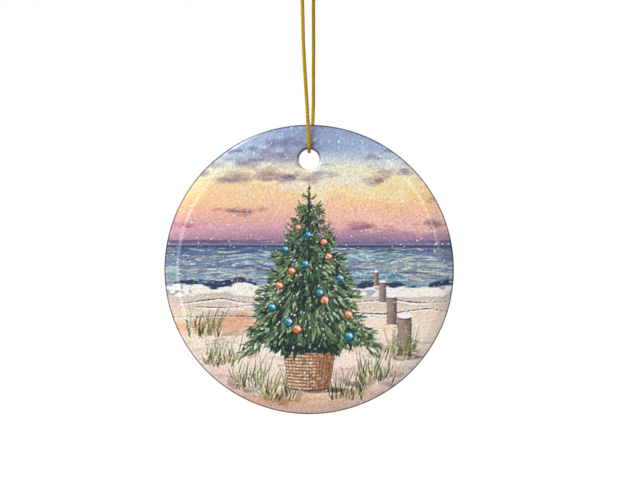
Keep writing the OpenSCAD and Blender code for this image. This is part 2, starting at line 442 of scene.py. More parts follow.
outer = to_disc(x, z, glazed_depth(x, z, HOLE_LIP))
x, z, under_quads, under_rim, under_mouth = round_grid(6)
radius = np.hypot(x, z)
shrink = np.where(radius > DISC_R - 0.01, (DISC_R - COAT_T / 2) / np.maximum(radius, 1), 1)
inner = to_disc(x * shrink, z * shrink, glazed_depth(x, z, HOLE_LIP) + COAT_T)
from_hole = np.hypot(x, z - HOLE_UP)
widen = np.where(from_hole < HOLE_R + 0.01, 1 + COAT_T / 2 / HOLE_R, 1)
inner[:, 0] = x * shrink * widen
inner[:, 2] = DISC_Z + HOLE_UP + (z * shrink - HOLE_UP) * widen
first = len(outer)
stitches = np.concatenate([zip_loops(rim, under_rim + first), zip_loops(mouth, under_mouth + first)])
printed_picture = mesh_piece("printed_picture", np.concatenate([outer, inner]),
                             np.concatenate([quads, under_quads + first]), stitches)
face_outwards(printed_picture)
printed_picture.data.calc_loop_triangles()
print("picture triangles", len(printed_picture.data.loop_triangles))

# %% [markdown]
# ## The ceramic blank
# The blank is pressed and fired porcelain with a white glaze. Its front is the same round grid,
# a coat's thickness further back, and its back is flat with a small rounded edge. The hole goes
# straight through, with a rounded lip on the back as well.

# %% Make the ceramic blank
def back_height(radius, from_hole):
    """How far the back's surface lies in front of its flat: a quarter circle at the edge and
    another at the hole's lip."""
    inside = np.clip(radius - DISC_R + BACK_EDGE_R, 0, BACK_EDGE_R)
    edge = BACK_EDGE_R - np.sqrt(np.maximum(BACK_EDGE_R ** 2 - inside ** 2, 0))
    return edge + lip_depth(from_hole, HOLE_LIP)


x, z, quads, rim, mouth = round_grid(3)
radius, from_hole = np.hypot(x, z), np.hypot(x, z - HOLE_UP)
front_face = to_disc(x, z, glazed_depth(x, z, HOLE_LIP) + COAT_T)
edge_lean = np.clip((radius - RIM_START) / (DISC_R - RIM_START), 0, 1)
back_radius = np.where(radius > RIM_START, DISC_R - BACK_EDGE_R * (1 - edge_lean), radius)
outward = back_radius / np.maximum(radius, 1e-6)
back_face = np.stack([x * outward, BACK_Y - back_height(back_radius, from_hole), DISC_Z + z * outward], 1)
first = len(front_face)
walls = np.concatenate([between_rows(rim, rim + first), between_rows(mouth, mouth + first)])
ceramic_blank = mesh_piece("ceramic_blank", np.concatenate([front_face, back_face]),
                           np.concatenate([quads, quads + first, walls]))
face_outwards(ceramic_blank)
print("blank faces", len(ceramic_blank.data.polygons))

# %% Hang them on the disc's body
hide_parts("printed_coat")
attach(printed_picture, "disc")
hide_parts("ceramic_body")
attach(ceramic_blank, "disc")

# %% [markdown]
# ## Painting the picture: the canvas and the brushes
# The print is a watercolour of a plain seasonal subject, a fir in a basket on a winter beach at
# dusk. Each part of it is placed by a rule or by seeded chance.
# It is painted as a painter would, with broad wet washes first, from the sky down, and smaller
# and drier strokes on top. The canvas is an array of colours over the disc, a tenth of a
# millimetre from point to point, and every brush is a share from 0 to 1 by which a paint covers
# it. Places are in millimetres from the disc's middle, across and up.

# %% Set up the canvas
CELL = 0.1          # mm between canvas points
REACH = 35.5        # the canvas runs this far each way from the disc's middle, mm
SIDE = int(round(2 * REACH / CELL)) + 1
ACROSS, UP = np.meshgrid(np.linspace(-REACH, REACH, SIDE), np.linspace(-REACH, REACH, SIDE), indexing="ij")
canvas = np.ones((SIDE, SIDE, 3))


def mottle(x, z, cell, seed):
    """Smooth random field from 0 to 1: random numbers on a lattice, eased between its corners."""
    lattice = np.random.default_rng(seed).random((97, 97))
    gx, gz = x / cell + 200.5, z / cell + 200.5
    i, j = np.floor(gx).astype(int), np.floor(gz).astype(int)
    u, v = ease(gx - i), ease(gz - j)
    i, j, i1, j1 = i % 97, j % 97, (i + 1) % 97, (j + 1) % 97
    low = lattice[i, j] * (1 - u) + lattice[i1, j] * u
    high = lattice[i, j1] * (1 - u) + lattice[i1, j1] * u
    return low * (1 - v) + high * v


def billow(x, z, cell, seed, octaves=4, stretch=1.0):
    """Cloudy field from 0 to 1: mottles of halving size and halving strength, drawn out sideways."""
    total, weight = 0, 0
    for k in range(octaves):
        total = total + mottle(x / stretch, z, cell / 2 ** k, seed + 17 * k) / 2 ** k
        weight += 1 / 2 ** k
    return total / weight


def lay(part, paint, amount):
    """Body colour: the canvas moves towards the paint by the amount, from 0 to 1."""
    part += (np.array(paint) - part) * np.clip(amount, 0, 1)[..., None]


def glaze(part, paint, amount):
    """Clear wash: the canvas is multiplied by the paint, as far as the amount says."""
    part *= 1 - (1 - np.array(paint)) * np.clip(amount, 0, 1)[..., None]


def window(low, high):
    """Slices of the canvas that hold the box from low to high, in mm."""
    a = np.clip(np.floor((np.array(low) + REACH) / CELL).astype(int) - 1, 0, SIDE)
    b = np.clip(np.ceil((np.array(high) + REACH) / CELL).astype(int) + 2, 0, SIDE)
    return slice(a[0], b[0]), slice(a[1], b[1])


def levels(high, low, paints):
    """A table of rows (height, paint) that spreads a list of paints evenly from high to low."""
    return list(zip(np.linspace(high, low, len(paints)), paints))


def mixed(table, height):
    """The paint at a height: a mix of the two rows of a table, from high to low, that it lies
    between."""
    heights = [row[0] for row in table][::-1]
    return np.stack([np.interp(height, heights, [row[1][k] for row in table][::-1]) for k in range(3)], -1)


def wash(table, low, high, wave=0.0, seed=0, stretch=5.0, edge=0.4):
    """A graded wash between two heights, whose colours waver up and down by up to wave mm."""
    level = UP + wave * 2 * (billow(ACROSS, UP, 5.0, seed, 4, stretch) - 0.5)
    inside = ease((UP - low) / edge + 0.5) * ease((high - UP) / edge + 0.5)
    canvas[:] = canvas + (mixed(table, level) - canvas) * inside[..., None]


def patch(place, size, paint, amount, ragged=0.8, seed=0, stretch=2.0, crisp=1.5, cell=3.0, wet=True):
    """A soft patch of wash: the cover falls off from the middle of an oval to its edge, and a
    cloudy field makes the edge ragged. A wet patch is clear, and a dry one covers."""
    place, size = np.array(place), np.array(size)
    view = window(place - size * 2.2, place + size * 2.2)
    x, z = ACROSS[view], UP[view]
    reach = np.hypot((x - place[0]) / size[0], (z - place[1]) / size[1])
    rough = ragged * 5 * (billow(x, z, cell, seed, 4, stretch) - 0.5)
    cover = amount * ease((1 - reach + rough) * crisp) * ease((2.1 - reach) * 2)
    (glaze if wet else lay)(canvas[view], paint, cover)


def streaks(low, high, left, right, paint, amount, share=0.4, height=0.8, stretch=9.0, seed=0,
            crisp=9.0, fade=1.5):
    """Level streaks in a box, such as waves: where a field that is drawn out sideways rises above
    a level, so that the share of the box given is covered. The box's edges fade."""
    view = window((left, low), (right, high))
    x, z = ACROSS[view], UP[view]
    drift = 0.35 * np.sin(x / 3.1 + seed) + 0.8 * (mottle(x, z, 4.0, seed + 5) - 0.5)
    field = billow(x, z + drift, height, seed, 3, stretch)
    cover = ease((field - np.quantile(field, 1 - share)) * crisp + 0.5)
    inside = (ease((z - low) / 0.5) * ease((high - z) / 0.5)
              * ease((x - left) / fade) * ease((right - x) / fade))
    lay(canvas[view], paint, amount * cover * inside)


def stroke(line, widths, paint, amount=1.0, soft=0.1, dry=0.0, seed=0):
    """One brush stroke along a line of points: the cover is how far a canvas point lies inside
    the brush's half width at the nearest place on the line, faded over the soft edge. A dry
    brush leaves gaps."""
    line = np.asarray(line, float)
    widths = np.interp(np.linspace(0, 1, len(line)), np.linspace(0, 1, len(widths)), widths)
    edge = widths.max() / 2 + 2 * soft
    view = window(line.min(0) - edge, line.max(0) + edge)
    x, z = ACROSS[view], UP[view]
    if x.size == 0:
        return
    best = np.full(x.shape, -1e9)
    for k in range(len(line) - 1):
        d = line[k + 1] - line[k]
        t = np.clip(((x - line[k, 0]) * d[0] + (z - line[k, 1]) * d[1]) / max(d @ d, 1e-9), 0, 1)
        off = np.hypot(x - line[k, 0] - t * d[0], z - line[k, 1] - t * d[1])
        best = np.maximum(best, (widths[k] + t * (widths[k + 1] - widths[k])) / 2 - off)
    if dry:
        best = best - dry * mottle(x, z, 0.45, seed)
    lay(canvas[view], paint, amount * ease(best / soft / 2 + 0.5))


def bow(start, end, bend=0.0, n=5):
    """Points of a bow from start to end that stands off the straight line by bend times its length."""
    start, end = np.array(start, float), np.array(end, float)
    t = np.linspace(0, 1, n)[:, None]
    d = end - start
    return start + t * d + 4 * bend * t * (1 - t) * np.array([-d[1], d[0]])


def smooth_line(points, n=24):
    """More points along a line through a few: each coordinate is eased from point to point."""
    points = np.asarray(points, float)
    t = np.linspace(0, len(points) - 1, n)
    i = np.minimum(t.astype(int), len(points) - 2)
    before, after = points[np.maximum(i - 1, 0)], points[np.minimum(i + 2, len(points) - 1)]
    p, q, u = points[i], points[i + 1], (t - i)[:, None]
    return 0.5 * (2 * p + (q - before) * u + (2 * before - 5 * p + 4 * q - after) * u ** 2
                  + (3 * p - before - 3 * q + after) * u ** 3)


# %% Draw by seeded chance
brush = np.random.default_rng(7)


def spread(low, high):
    """One random number from low to high."""
    return low + (high - low) * brush.random()


def one_of(paints):
    """One paint of a list, by chance."""
    return np.array(paints[brush.integers(len(paints))])


def tell(step):
    """Says which step is painted and what the canvas has come to, as a mean colour."""
    print(step, "painted, mean colour of the canvas", canvas.mean((0, 1)).round(3))


# %% [markdown]
# ## The evening sky
# Dusk blue runs down through pale yellow and gold to rose and mauve at the horizon. The wash is
# laid wet, so its colours run into each other, and violet clouds are dropped in at random while
# it is damp: soft on top, with a firmer lower edge.

# %% Wash in the sky and the clouds
HORIZON = 6.0       # the horizon's height over the disc's middle, mm
SIDES = 36          # washes run this far to the left and right, past the disc's rim, mm
SKY = levels(34, HORIZON, [(.50, .55, .68), (.60, .68, .80), (.78, .82, .82), (.93, .87, .72),
                           (.95, .80, .57), (.93, .72, .60), (.82, .62, .66), (.50, .43, .56)])
VIOLET = [(.74, .70, .80), (.65, .63, .77), (.82, .76, .82)]
wash(SKY, HORIZON, 40, wave=1.4, seed=11)
for number in range(18):
    x, z = spread(-31, 31), spread(HORIZON + 5, 33)
    paint = mixed(SKY, z + spread(-3.5, 3.5)) ** .85
    patch((x, z), (spread(6, 12), spread(1.2, 2.8)), paint, .6, seed=20 + number, wet=False)
for number in range(24):
    x, z = spread(-33, 33), spread(HORIZON + 4, 31)
    wide = spread(4, 10)
    tall = wide * spread(.14, .3)
    patch((x, z), (wide, tall), one_of(VIOLET), .85, .7, 400 + number, 2.0, .7, 2.0)
    foot_place = x + .3 * wide, z - .3 * tall
    patch(foot_place, (wide * .6, tall * .5), one_of(VIOLET), .6, .7, 440 + number, 3.0, 1.0, 1.0)
streaks(HORIZON + .8, HORIZON + 3.6, -SIDES, SIDES, (.68, .50, .58), 0.5, 0.35, 0.9, 10, 55, 4)
streaks(HORIZON, HORIZON + 1.4, -SIDES, SIDES, (.36, .31, .43), 0.75, 0.5, 0.8, 12, 56, 4)
tell("sky")

# %% [markdown]
# ## The sea
# Deep blue under the horizon, then long low swells that grow towards the shore. Some carry the
# sky's gold, some are turquoise where light comes through them, and each has a paler back.

# %% Wash in the sea
SHORE = -5.0        # where the water ends, mm
SEA = levels(HORIZON, SHORE, [(.22, .27, .43), (.45, .52, .62), (.60, .66, .70), (.56, .66, .72),
                              (.42, .52, .62)])
SWELLS = [(.27, .37, .54), (.42, .52, .62), (.66, .67, .62), (.77, .72, .60), (.36, .65, .77),
          (.52, .74, .79)]
wash(SEA, SHORE - 1, HORIZON, wave=0.5, seed=61, stretch=9)
for number in range(16):
    z = HORIZON - 1 - 8 * brush.random()
    wide, tall = spread(7, 13), .25 + .07 * (HORIZON - z)
    patch((spread(-31, 31), z), (wide, tall), one_of(SWELLS), .8, .6, 600 + number, 8.0, 2.0, wet=False)
for number, (paint, amount, share, height) in enumerate([
        ((.30, .34, .48), .5, .28, .4), ((.44, .51, .62), .5, .24, .5), ((.36, .44, .57), .6, .16, .35),
        ((.50, .55, .54), .5, .18, .45), ((.82, .85, .86), .6, .14, .35), ((.80, .77, .68), .45, .14, .4)]):
    streaks(SHORE + 1.2, HORIZON - .5, -SIDES, SIDES, paint, amount, share, height, 8, 74 + number, 12)
for number in range(34):
    z = HORIZON - 1.2 - 8.2 * brush.random() ** .8
    start, long, width = spread(-39, 27), spread(6, 16), .16 + .05 * (HORIZON - z)
    line = smooth_line([(start + long * t, z + spread(-.28, .28)) for t in (0, .33, .67, 1)])
    stroke(line, (.1, width, width, .1), one_of(SWELLS[:2]), .75, .2, .4, number)
    stroke(line + [.3, .36], (.08, width * .6, .08), (.88, .89, .88), .6, .14, .35, number + 60)
tell("sea")

# %% [markdown]
# ## The surf and the sand
# Broken water is bare paper with a few grey-blue shadows in it, under a dark ragged crest. Where
# the last of it runs up the beach it leaves rounded edges, each a dark line of wet sand with a
# thin white lip of foam. The sand is warm cream with peach, rose and violet washed over it.

# %% Paint the surf
SAND = levels(SHORE, -35, [(.75, .71, .67), (.95, .85, .76), (.98, .89, .82), (.94, .83, .77),
                           (.88, .74, .68)])
wash(SAND, -40, SHORE, wave=1.0, seed=83, stretch=3)
TOP = SHORE + 1.7 + 2.6 * (billow(ACROSS, UP, 2.2, 82, 3, 2.2) - 0.5) + 0.5 * np.sin(ACROSS / 9 + 2)
EDGE = SHORE - 1.5 + 1.6 * (billow(ACROSS, UP, 2.0, 81, 3, 3) - 0.5) + 0.5 * np.sin(ACROSS / 5)
foam = ease((TOP - UP) / 0.5) * ease((UP - EDGE) / 0.5)
lay(canvas, (.94, .92, .88), foam)
hollows = ease((billow(ACROSS, UP, .7, 84, 3, 1.6) - .5) * 9)
hollows = hollows * ease((billow(ACROSS, UP, 3.0, 184, 2, 3) - .42) * 7)
lay(canvas, (.55, .60, .68), hollows * foam * .75)
crest = ease(1.6 - np.abs(UP - TOP - .3) / (.1 + .9 * billow(ACROSS, UP, 1.2, 182, 3, 2.5)))
lay(canvas, (.15, .18, .31), crest * ease((billow(ACROSS, UP, 1.6, 183, 3, 2) - .4) * 8) * .9)

# rounded lobes hang from a level: each line falls by a bow of a sine between its cusps
across = np.linspace(-SIDES, SIDES, 90)
for number in range(4):
    level, lobe = SHORE - 2.0 - 1.3 * number, 6.5 + 1.7 * number
    fall = .9 * np.abs(np.sin(across / lobe + 1.7 * number)) + .25 * np.sin(across / 3.1 + number)
    first, last = [(0, 90), (8, 52), (40, 90), (0, 70)][number]
    line = np.stack([across, level - fall], 1)[first:last]
    stroke(line + [0, -.4], (.1, .8, .6, .9, .5, .8, .1), (.90, .91, .93), .9, .16, .3, number)
    stroke(line, (.1, .45, .3, .55, .35, .5, .06), (.22, .20, .29), .9, .1, .25, number + 40)
tell("surf")

# %% Glaze the sand
FLUSHES = [(.98, .80, .66), (.94, .82, .80), (.84, .80, .86), (.95, .85, .70)]
for number in range(22):
    x, z = spread(-32, 32), SHORE - 4.5 - 24 * brush.random()
    patch((x, z), (spread(5, 12), spread(.7, 2.2)), one_of(FLUSHES), .42, .7, 100 + number, 4.0)
streaks(-31, -17, -34, 34, (.62, .54, .58), 0.3, 0.2, 0.8, 5, 113, 5)
tell("sand")

# %% [markdown]
# ## The fence posts and the grass
# Old posts walk down the beach at the right and into the surf. Each is a fixed share nearer to
# one vanishing point on the horizon than the last, and smaller by the same share, so the row
# runs back as a real one does. Dune grass grows in tufts at even turns round the lower edge, in
# single strokes that start broad at the foot and leave the paper at a fine tip.

# %% Paint the posts
def oval(x, z, half_wide, half_tall, paint, amount=1.0):
    """An oval with a soft edge: the cover falls from 1 to 0 where the distance from its middle,
    over its half width and half height, comes to 1."""
    off = np.hypot((ACROSS - x) / half_wide, (UP - z) / half_tall)
    lay(canvas, paint, amount * ease((1 - off) * 3 * half_tall / .3 + .3))


def post(x, foot, tall, wide):
    """A weathered post with a flat foot and a cut top: a grey-brown side, paler on the left,
    with darker and paler upright grain, dark outlines, and snow on its top. Every stroke's width
    follows the post's own."""
    top, half, fine = foot + tall, wide / 2, wide / 3.2
    body = ease((half - np.abs(ACROSS - x)) * 8 + .5) * ease((top - UP) * 8 + .5) * ease((UP - foot) * 4 + .5)
    shade_side = (ACROSS - x) / wide + .5
    lay(canvas, (.62, .53, .48), body)
    lay(canvas, (.34, .27, .28), body * ease(shade_side * 1.3 - .3) * .8)
    for _ in range(34):
        place = x + spread(-.42, .42) * wide
        tone = one_of([(.36, .28, .28), (.72, .63, .58), (.47, .38, .36), (.80, .74, .68)])
        ends = (place, spread(foot, top)), (place, spread(foot, top))
        stroke(bow(*ends, spread(-.02, .02)), (.1 * fine, .24 * fine, .1 * fine), tone, .8, .08, .15, 3)
    for place in (x - half, x + half):
        stroke([(place, top), (place, foot + .1)], (.24 * fine, .34 * fine), (.20, .15, .17), .9, .08, .12, 8)
    oval(x, top - .1 * fine, half * 1.02, .55 * fine, (.24, .19, .21), .9)
    oval(x, top + .35 * fine, half * 1.15, .7 * fine, (.94, .94, .95))


VANISH, NEAR_FOOT = np.array([12.0, HORIZON]), np.array([23.0, -21.0])
POST_COUNT = 4
POST_SHARE = .72    # each post stands at this share of the last one's way from the vanishing point
for scale in [POST_SHARE ** number for number in range(POST_COUNT)][::-1]:
    x, foot = VANISH + (NEAR_FOOT - VANISH) * scale
    patch((x + 2 * scale, foot), (4 * scale, .7 * scale), (.60, .55, .60), .8, .5, int(1000 * scale), 3.0)
    post(x, foot, 9.5 * scale, 3.2 * scale)
    oval(x, foot - .1 * scale, 2.4 * scale, .45 * scale, (.93, .86, .80), .9)
tell("posts")

# %% Paint the grass
GREENS = [(.38, .42, .26), (.48, .52, .30), (.58, .61, .38), (.32, .35, .25), (.66, .65, .45),
          (.52, .47, .33)]
SHADES = [(.20, .22, .16), (.28, .26, .22), (.16, .17, .16)]
DRY = [(.86, .82, .62), (.93, .90, .80)]


def blades(count, feet, heights, lean, tones, width=.28, strength=.9):
    """A tuft: each blade rises from a random foot to a random height and bends to one side."""
    for _ in range(count):
        x, z = spread(*feet[0]), spread(*feet[1])
        rise = spread(*heights)
        tip = (x + rise * spread(*lean), z + rise)
        blade = bow((x, z), tip, spread(-.1, .1))
        stroke(blade, (width * .9, width, width * .6, .05), one_of(tones), strength, .09)


# every 16 degrees round the lower edge, but not where the basket stands
TUFT_TURNS = np.radians([turn for turn in range(208, 322, 16) if abs(turn - 270) > 12])
for number, turn in enumerate(TUFT_TURNS):
    x, z = 29 * math.cos(turn), 31 * math.sin(turn)
    patch((x, z - .3), (5.5, 1.5), (.70, .69, .58), .6, .9, 200 + number, cell=2.0)
    feet = (x - 4, x + 4), (z - 2, z + 1)
    blades(34, feet, (2.5, 7), (-.3, .5), GREENS)
    blades(16, feet, (1, 3), (-.5, .5), SHADES)
    blades(9, feet, (2, 5.5), (-.2, .6), DRY, .2, .8)
tell("grass")

# %% [markdown]
# ## The basket
# A tapered basket of split cane. Level bands of weave cross upright stakes, so the light catches
# short dashes in rows. It is lit from the left, and dark under the fir.

# %% Weave the basket
TREE_X = 0.0        # the fir stands in the middle of the picture
BASKET_TOP, BASKET_FOOT = -19.5, -28.5
HALF_TOP, HALF_FOOT = 6.5, 5.0
CREAM, TAN, RUST, SHADE = [np.array(tone) for tone in
                           ((.93, .85, .76), (.76, .55, .38), (.70, .42, .21), (.36, .22, .16))]
ROWS, STAKES = 12, 14
SAG = .55           # how far the foot's middle hangs below its sides, mm


def on_basket(u, v):
    """A place on the basket's side: u from -1 to 1 across and v from 0 at the rim to 1 at the
    foot, where level lines sag like ovals seen a little from above."""
    half = HALF_TOP + (HALF_FOOT - HALF_TOP) * v
    level = BASKET_TOP + (BASKET_FOOT - BASKET_TOP) * v
    return TREE_X + u * half, level - SAG * (1 - u * u) * (.4 + .6 * v)


down = (BASKET_TOP - UP) / (BASKET_TOP - BASKET_FOOT)
u_all = (ACROSS - TREE_X) / (HALF_TOP + (HALF_FOOT - HALF_TOP) * down)
sag = UP + SAG * (1 - np.clip(u_all, -1, 1) ** 2) * (.4 + .6 * down)
side = ease((1 - np.abs(u_all)) * 18) * ease((BASKET_TOP + .6 - UP) * 4) * ease((sag - BASKET_FOOT) * 5)
patch((TREE_X + 9.5, BASKET_FOOT + .8), (9, 1.7), (.62, .58, .67), .95, .6, 105, 3.0)
patch((TREE_X + 1, BASKET_FOOT - .8), (7, .8), (.52, .46, .54), .9, .5, 109, 4.0)
lay(canvas, TAN * .8, side)
for row in range(ROWS):
    v = (row + .5) / ROWS
    for stake in range(STAKES):
        u = -.98 + 1.96 * (stake + .5) / STAKES
        tone = CREAM if brush.random() < .62 - .5 * u else TAN if brush.random() < .5 else RUST
        dark = .35 * brush.random() ** 2 + .8 * ease((u - .05) * 1.1) * spread(.5, 1)
        tone = tone + (SHADE - tone) * dark
        ends = [on_basket(u + half, v + spread(-.01, .01)) for half in (-.045, .045)]
        stroke(ends, (.3, .36), tone, spread(.6, .95), .12)
    line = [on_basket(u, v + .5 / ROWS) for u in np.linspace(-.98, .98, 9)]
    stroke(line, (.14, .24, .16), (.36, .20, .11), .85 if row % 3 else 1, .08, .2, row)
for stake in range(STAKES + 1):
    u = -.98 + 1.96 * stake / STAKES
    stroke([on_basket(u, v) for v in (.04, .5, .98)], (.16, .26, .18), (.30, .17, .11), .9, .08, .2, stake)
stroke([on_basket(u, 1.01) for u in np.linspace(-.95, .95, 9)], (.2, .4, .2), (.24, .17, .17), .85, .14)
stroke([on_basket(u, -.02) for u in np.linspace(-1, 1, 9)], (.5, 1.3, .9), (.17, .13, .15), .95, .2)
tell("basket")

# %% [markdown]
# ## The fir
# Boughs are painted from the lowest up, so that each lies over the one below. A bough is a bowed
# spine from the trunk with leaf-shaped dabs of dark, middle and light green on both sides of it.
# Low boughs hang, the middle ones reach out level, and the top twigs turn up. How far a bough
# reaches follows from its height, and chance makes one longer than the next.

# %% Paint the fir
FIR_TOP, FIR_FOOT = 20.0, -20.0
WIDEST = 15.5       # how far the lowest boughs reach from the trunk, mm
DARK = [(.12, .20, .16), (.08, .14, .13), (.16, .26, .20)]
MIDDLE = [(.27, .40, .28), (.34, .46, .30), (.23, .35, .27)]
LIGHT = [(.45, .54, .36), (.56, .63, .42), (.41, .51, .38)]
PALE = [(.70, .76, .55), (.64, .76, .64)]
GAPS = [(.88, .92, .86), (.90, .88, .80)]


def reach_at(height):
    """How far the fir reaches from its trunk: a power of the share of the way down from the top."""
    return WIDEST * np.clip((FIR_TOP + .4 - height) / (FIR_TOP - FIR_FOOT), 0, 1) ** .82


def dab(x, z, angle, length, width, tones, strength=.92):
    """One leaf-shaped dab that starts at a place and points at an angle."""
    end = (x + length * math.cos(angle), z + length * math.sin(angle))
    tone = one_of(tones) * spread(.9, 1.1)
    stroke(bow((x, z), end, spread(-.16, .16), 4), (.12, width, width * .7, .04), tone, strength, .09)


def either_side():
    """-1 for the left or 1 for the right, by chance."""
    return -1 if brush.random() < .5 else 1


def bough(base, tip, bend, size, dabs):
    """A bough: a bowed spine, with dabs that point along it and away from it on either side,
    smaller towards the tip. Dabs is how many for each mm of spine."""
    spine = bow(base, tip, bend, 12)
    stroke(spine, (.6 * size, .35 * size, .12), one_of(DARK), .9, .1)
    count = max(4, int(np.hypot(*(spine[-1] - spine[0])) * dabs))
    for number in range(count):
        share = .1 + .9 * (number + brush.random()) / count
        k = min(int(share * 11), 10)
        x, z = spine[k] + (spine[k + 1] - spine[k]) * (share * 11 - k)
        along = math.atan2(*(spine[k + 1] - spine[k])[::-1])
        pick = brush.random()
        tones = LIGHT if pick < .38 else MIDDLE if pick < .76 else DARK
        small = size * (1 - .5 * share)
        angle = along + spread(.08, .52) * either_side()
        dab(x, z, angle, spread(1.5, 3.3) * small, spread(.4, .8) * small, tones)
    dab(*spine[-2], math.atan2(*(spine[-1] - spine[-2])[::-1]), 1.3 * size, .3 * size, MIDDLE)


def spray(x, z, lean, size):
    """A tuft: a fan of leaf-shaped dabs from one point, dark ones at its sides and under it,
    middle ones over them, and now and then a light one on top."""
    for turn in (-1.0, .95, -.65, .6, .05):
        dab(x, z, lean + turn * spread(.8, 1.2), size * spread(.75, 1.05), size * spread(.2, .3), DARK)
    for turn in (-.5, .46, -.15, .16):
        dab(x, z, lean + turn * spread(.8, 1.2), size * spread(.65, 1.05), size * spread(.11, .22), MIDDLE)
    if brush.random() < .6:
        dab(x, z, lean + spread(-.45, .45), size * spread(.7, 1.0), size * spread(.15, .24), LIGHT)


def scatter(count, low, high, inner, lengths, widths, tones, strength):
    """Dabs that hang inside the fir between two heights, out to a share of its reach, and point
    down and away from the trunk."""
    for _ in range(count):
        z, side = spread(low, high), either_side()
        share = brush.random() ** .7
        slope = -math.pi / 2 + side * (.15 + 1.1 * share * inner + spread(-.25, .25))
        x = TREE_X + side * reach_at(z) * inner * share
        dab(x, z, slope, spread(*lengths), spread(*widths), tones, strength)


scatter(330, -18.4, 2.5, .56, (1.4, 3.0), (.7, 1.5), DARK + MIDDLE[:1], .9)
scatter(190, -19.2, -9, .42, (1.4, 3.0), (.7, 1.5), DARK, .9)
scatter(60, -4, 7, .25, (1.4, 2.6), (.5, 1.1), DARK, .9)
stroke([(TREE_X, FIR_TOP), (TREE_X, 9), (TREE_X, -12)], (.16, .42, 1.0), (.17, .20, .16), .95, .08)

# each part is a height, a side (0 for a spray inside the fir) and how far out it reaches
parts = []
for level in np.arange(FIR_FOOT + .3, FIR_TOP - .8, 1.3):
    for side in (-1, 1):
        z = level + spread(-.5, .5)
        parts.append((z, side, side * reach_at(z) * spread(.84, 1.14)))
for level in np.arange(FIR_FOOT + 1.6, FIR_TOP - 4, 1.05):
    for share in np.linspace(-.7, .7, 5 if level < -6 else 4):
        z = level + spread(-.6, .6)
        parts.append((z, 0, reach_at(z) * (share + spread(-.12, .12)) * .9))
LOWEST_SPRAY = BASKET_TOP + 4
for z, side, out in sorted(parts):
    up = (z - FIR_FOOT) / (FIR_TOP - FIR_FOOT)
    if side == 0:
        lean = -math.pi / 2 + 1.3 * out / max(reach_at(z), 1) + spread(-.2, .2)
        size = 4.4 - 3.0 * ease(1.6 * up - .45)
        x = TREE_X + out - .3 * size * math.cos(lean)
        spray(x, max(z - .3 * size * math.sin(lean), LOWEST_SPRAY), lean, size)
        continue
    high, long = ease(4 * up - 2), abs(out)
    base = np.array([TREE_X + .12 * out * (1 - high), z - (1.1 * up - .35) * long * .88])
    tip = np.array([TREE_X + out, z])
    bough(base, tip, side * (.1 - .25 * up), 1.1 - .6 * high, 2.3 + 3.2 * high)
    if long > 6:
        for share in (.5, .66, .8):
            start = base + (tip - base) * share
            lean = math.atan2(*(tip - base)[::-1]) + spread(.3, .6) * either_side()
            end = start + long * spread(.14, .24) * np.array([math.cos(lean), math.sin(lean)])
            bough(start, end, spread(-.08, .08), .95 - .45 * high, 2.2)
tell("boughs")

# %% Add the fir's lights, its gaps and its leader
scatter(64, -16, 1.5, .72, (2.6, 4.8), (.9, 1.6), MIDDLE[:2] + LIGHT[2:], .6)
scatter(56, -16, 1.5, .72, (2.2, 4.2), (.5, .9), DARK[:2], .85)
scatter(120, -5, 14, .4, (1.0, 2.2), (.3, .6), DARK + MIDDLE, .92)
for _ in range(46):
    across_rim = spread(-5, 5.2)
    slope = spread(-.5, .5) + (math.pi if across_rim < 0 else 0)
    z = BASKET_TOP + spread(0, 1.5)
    dab(TREE_X + across_rim, z, slope, spread(.8, 1.8), spread(.4, .8), DARK[1:2], .9)
stroke([(TREE_X, FIR_TOP + .8), (TREE_X, 16), (TREE_X, 3)], (.14, .5, .6), (.15, .18, .14), .95, .08)
for _ in range(120):
    z = FIR_TOP - 15 * brush.random() ** .9
    long = spread(.5, .8) + .9 * ease((FIR_TOP - 1 - z) / 10)
    angle = math.pi / 2 - either_side() * spread(.35, 1.1)
    dab(TREE_X, z, angle, long, spread(.16, .3), DARK + MIDDLE[2:], .9)
for count, lengths, widths, tones, strength in [
        (70, (1.2, 2.6), (.35, .7), DARK[1:2], .95), (60, (1.2, 2.6), (.35, .7), LIGHT, .9),
        (26, (1.0, 2.0), (.3, .6), PALE, .85), (60, (.8, 1.8), (.3, .5), DARK, .95),
        (100, (.3, .9), (.15, .34), GAPS, .9)]:
    scatter(count, -19, 3, .85, lengths, widths, tones, strength)
tell("fir")

# %% [markdown]
# ## The baubles and the snow
# Small round baubles, teal and copper by turns, wind up the fir: each is a fixed turn further
# round than the last, so they spread evenly. Each has a dark lower right, a bright upper left and
# a touch of white. Last of all the snow is spattered on from a loaded brush.

# %% Hang the baubles
TEAL = [(.05, .22, .32), (.10, .43, .55), (.55, .85, .90)]
COPPER = [(.42, .20, .11), (.76, .46, .28), (.98, .84, .72)]


def bauble(x, z, r, tones):
    """A ball: dark disc, paler disc up and to the left of it, a bright patch and a white glint."""
    dark, middle, bright = tones
    stroke([(x, z), (x + .01, z)], (2.1 * r, 2.1 * r), dark, 1, .1)
    stroke([(x - r * .12, z + r * .12), (x - r * .11, z + r * .12)], (1.6 * r, 1.6 * r), middle, .95, .22)
    stroke([(x + r * .15, z + r * .3), (x + r * .5, z)], (.7 * r, .5 * r), bright, .8, .18)
    stroke([(x - r * .45, z + r * .4), (x - r * .3, z + r * .5)], (.35 * r, .35 * r), bright, .7, .1)
    glint = [(x + r * .25, z + r * .3), (x + r * .3, z + r * .3)]
    stroke(glint, (.35 * r, .35 * r), (.98, .98, .96), .9, .08)
    stroke([(x, z + r), (x + .05, z + r + .5)], (.22, .12), (.35, .28, .18), .8, .07)


